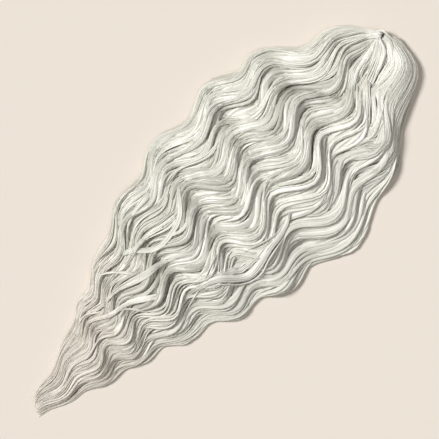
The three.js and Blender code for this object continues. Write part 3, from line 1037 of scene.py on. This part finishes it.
# Name, slot, tufts, how far they spread at the start, middle and end, and the route's points: millimetres
# from the tie, and over the floor.
ROUTED_LOCKS = [
    ("tie_cover", "hair_front", 14, (1.4, 0.6, 1.4),
     [(-12, 13, 9.4), (-3, 9, 11), (3.2, 5, 11.8), (4.5, 0, 13.2), (4.4, -7, 11.4), (5, -17, 9)]),
    ("front_neck", "hair_front", 20, (4, 2, 4),
     [(-16, 16, 9.6), (-7, 8.5, 12), (-3, 4.8, 13.4), (-1.6, 0.9, 13.9)]),
    ("tail_neck", "hair_back", 16, (3.7, 1.8, 3.7),
     [(-1, -0.7, 13.9), (0.3, -4, 13.6), (0.4, -8.5, 12.8), (-2, -15, 11)]),
    ("front_fill", "hair_front", 34, (1.4, 3.4, 5),
     [(-4, 2.8, 12.2), (-8, 1, 12.2), (-13.6, -2.8, 11.2), (-24, -9, 9.4), (-46, -18, 3)]),
    ("front_hollow", "hair_front", 18, (1.2, 2.4, 2.4),
     [(-11, 1, 9.6), (-21, -3, 9.2), (-32, -6.6, 9), (-43, -9.8, 8.8), (-58, -15.5, 6)]),
    ("front_middle", "hair_front", 30, (1.2, 2.2, 4.5),
     [(-3.8, 2.2, 12.4), (-6.6, -1, 13), (-10, -6, 12.2), (-17, -12.2, 11.4), (-31, -19.5, 11.8),
      (-46, -25.5, 13), (-63, -32, 8)]),
    ("front_border", "hair_front", 30, (1.2, 1.6, 3),
     [(-3.4, 1.6, 12.6), (-5.4, -2.2, 14), (-7.4, -8, 14), (-12, -14, 13.4), (-24, -20.4, 12.8),
      (-46, -27.5, 9)]),
    ("edge_wisps", "hair_front", 9, (1.7, 0.8, 1.7),
     [(-38, -19, 9), (-52, -28.6, 18.4), (-61.7, -40, 20.4), (-75.3, -50.6, 21.8), (-91, -56.5, 20.4),
      (-103, -64, 16)]),
    ("tail_border", "hair_back", 20, (2, 1.2, 2.2),
     [(0.6, -1.8, 12.2), (0.4, -9.4, 13.2), (-4.5, -18.6, 14.2), (-14.5, -27.2, 15.8), (-34, -36, 16),
      (-58, -46, 11)]),
    ("front_crossing", "hair_front", 40, (1.5, 5, 3.2),
     [(-199, -60, 14), (-207, -64.5, 19.8), (-216, -69, 20.8), (-230, -72, 24.2), (-245, -73.4, 28),
      (-258, -76, 26), (-270, -78.4, 19), (-282, -78, 13), (-292, -72, 17.2), (-303, -61, 26),
      (-314, -54.5, 26.2), (-328, -50, 22.6), (-342, -46.5, 11)]),
    ("front_thin_crossing", "hair_front", 8, (0.5, 0.9, 1.2),
     [(-210, -64.5, 15), (-218, -67.5, 20.6), (-228, -68.8, 24), (-240, -66.8, 28.6), (-250, -64, 29.6),
      (-258, -61, 28.8), (-271, -57, 19)]),
    ("front_thin_strand", "hair_front", 4, (0.4, 0.6, 0.6),
     [(-286, -37, 24), (-291.4, -39.9, 28.6), (-298, -41.8, 29.2), (-304.2, -43.7, 28.4),
      (-314, -47.5, 27.6), (-323.8, -51.2, 23), (-336, -54.4, 15.8), (-347.9, -57.2, 11),
      (-360, -60.4, 12.2), (-372, -63.3, 9)]),
    ("loose_curl", "hair_front", 16, (1, 2.8, 2.4),
     [(-258, 48, 9), (-268.3, 39.5, 18.4), (-278, 28, 25.6), (-286.1, 18.6, 28.4), (-297.4, 12.7, 27.6),
      (-310, 9.6, 28.2), (-322, 8.6, 25), (-333.9, 11.6, 21.4), (-342.5, 18, 20.9), (-351, 27, 21.4),
      (-359, 31, 15.4), (-368, 36, 10)]),
    ("front_crossing_side", "hair_front", 16, (1, 3, 2),
     [(-222, -70, 18), (-230, -71.6, 22.6), (-240, -71, 27), (-248.1, -70.4, 27.8), (-256, -70.8, 27),
      (-264.1, -71.3, 24.8), (-271, -70.6, 20), (-277.3, -69.5, 18.2), (-283.7, -68.7, 16.4),
      (-289, -64.3, 20), (-294, -61, 21.6), (-299.4, -57.7, 25.4), (-305, -56, 25.6),
      (-311.2, -54.4, 25), (-322, -51.5, 20)]),
]


def tuft_routes(count, spreads, route):
    """Routes for the tufts of a lock, spread square to its own route, with ends that stray."""
    route = np.array(route, float)
    spread = np.interp(np.linspace(0, 1, len(route)), (0, 0.5, 1), spreads)
    along = np.gradient(route[:, :2], axis=0)
    to_side = np.stack([-along[:, 1], along[:, 0]], -1) / np.linalg.norm(along, axis=1, keepdims=True)
    from_tie = np.hypot(route[:, 0], route[:, 1])
    freedom = np.clip(from_tie / FULL_JITTER_REACH, LEAST_JITTER, 1)
    loose_end = from_tie[[0, -1], None] > NECK_RADIUS
    end_jitter = np.where(loose_end, LOOSE_END_JITTER, TIED_END_JITTER)
    routes = []
    for _ in range(count):
        sideways = rng.normal(0, SIDEWAYS_SPREAD)
        path = route.copy()
        path[:, :2] += to_side * (sideways * spread + rng.normal(0, SIDE_JITTER, len(route)))[:, None]
        path[:, 2] += rng.uniform(*HEIGHT_JITTER) * freedom - SIDEWAYS_DROP * sideways**2
        path[[0, -1]] += rng.normal(0, 1, (2, 3)) * end_jitter
        routes.append(path)
    return np.array(routes)


def routed_tufts(name, routes):
    """Thin tufts on smooth curves through the points of their routes."""
    count, points, _ = routes.shape
    at = np.linspace(0, points - 1, ROUTE_STATIONS)
    paths = []
    for route in routes:
        rows = {"wave": np.arange(points), "x": route[:, 0], "y": route[:, 1], "z": route[:, 2]}
        paths.append(np.stack([column(rows, axis, at) for axis in "xyz"], -1))
    path = np.array(paths)
    share = np.linspace(0, 1, ROUTE_STATIONS)
    full = POINT + (1 - POINT) * ramp(share, 0, ROUTE_TAPER) * ramp(1 - share, 0, ROUTE_TAPER)
    full = full * rng.uniform(*ROUTE_TUFT_SIZE, (count, 1))
    side, up = frames(path)
    width = ROUTE_TUFT_WIDTH * full
    thickness = ROUTE_TUFT_THICKNESS * full
    rings, reach, _ = swept_rings(path, side, up, width, thickness, ROUTE_SIDES)
    tone = np.clip(rng.normal(ROUTE_TONE_MEAN, ROUTE_TONE_SPREAD, count), 0, 1)
    fields = {
        "tone": tone[:, None, None],
        "along": ROUTE_WAVES_PER_POINT * at[None, :, None],
        "strip": reach + ROUTE_STRIP_PER_TUFT * np.arange(count)[:, None, None],
        "crest": 1.0,
    }
    return tube_mesh(name, rings, fields)


for name, slot, count, spreads, route in ROUTED_LOCKS:
    finish_piece(routed_tufts(name, tuft_routes(count, spreads, route)), hair)

finish_piece(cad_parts["tie_thread"], thread)


# The floor, the light and the camera, in metres and degrees.
FLOOR_SIZE = 8
FLOOR_GAP = 0.0005
FLOOR_COLOUR = (0.80, 0.725, 0.64)
FLOOR_ROUGHNESS = 0.9
SKY_STRENGTH = 0.155

bpy.ops.mesh.primitive_plane_add(size=FLOOR_SIZE, location=(0, 0, -FLOOR_GAP))
floor = bpy.context.object
floor.name = "floor"
floor.data.materials.append(floor_material("floor", FLOOR_COLOUR, FLOOR_ROUGHNESS))


def soft_light(name, way_from, spread, strength):
    """An even soft light over the whole floor, coming from the given way."""
    data = bpy.data.lights.new(name, "SUN")
    data.angle = math.radians(spread)
    data.energy = strength
    lamp = bpy.data.objects.new(name, data)
    bpy.context.scene.collection.objects.link(lamp)
    lamp.location = way_from
    lamp.rotation_euler = lamp.location.to_track_quat("Z", "Y").to_euler()


soft_light("key_light", (-1.5, 2.7, 3.5), spread=20, strength=3.05)
soft_light("fill_light", (0.3, -1.6, 3.0), spread=40, strength=0.6)

world = bpy.data.worlds.new("world")
bpy.context.scene.world = world
world.use_nodes = True
sky = world.node_tree.nodes["Background"]
sky.inputs["Color"].default_value = (1, 1, 1, 1)
sky.inputs["Strength"].default_value = SKY_STRENGTH
bpy.context.scene.view_settings.view_transform = "Standard"

# Straight down, turned so that the bundle runs from the lower left to the tie at the upper right.
# The view's middle is in millimetres from the tie.
VIEW_WIDTH = 0.4675
VIEW_LEVEL = 0.015
VIEW_TURN = -45
VIEW_DOWN_FROM_TIE = 261.3
VIEW_RIGHT_OF_TIE = 15.1
CAMERA_HEIGHT = 2.6
SENSOR_WIDTH = 36
camera_data = bpy.data.cameras.new("camera")
camera_data.sensor_width = SENSOR_WIDTH
camera_data.lens = SENSOR_WIDTH * (CAMERA_HEIGHT - VIEW_LEVEL) / VIEW_WIDTH
camera = bpy.data.objects.new("camera", camera_data)
bpy.context.scene.collection.objects.link(camera)
camera_x = (TIE_PLACE[0] - VIEW_DOWN_FROM_TIE) * MM
camera_y = (TIE_PLACE[1] - VIEW_RIGHT_OF_TIE) * MM
camera.location = (camera_x, camera_y, CAMERA_HEIGHT)
camera.rotation_euler = (0, 0, math.radians(VIEW_TURN))
bpy.context.scene.camera = camera
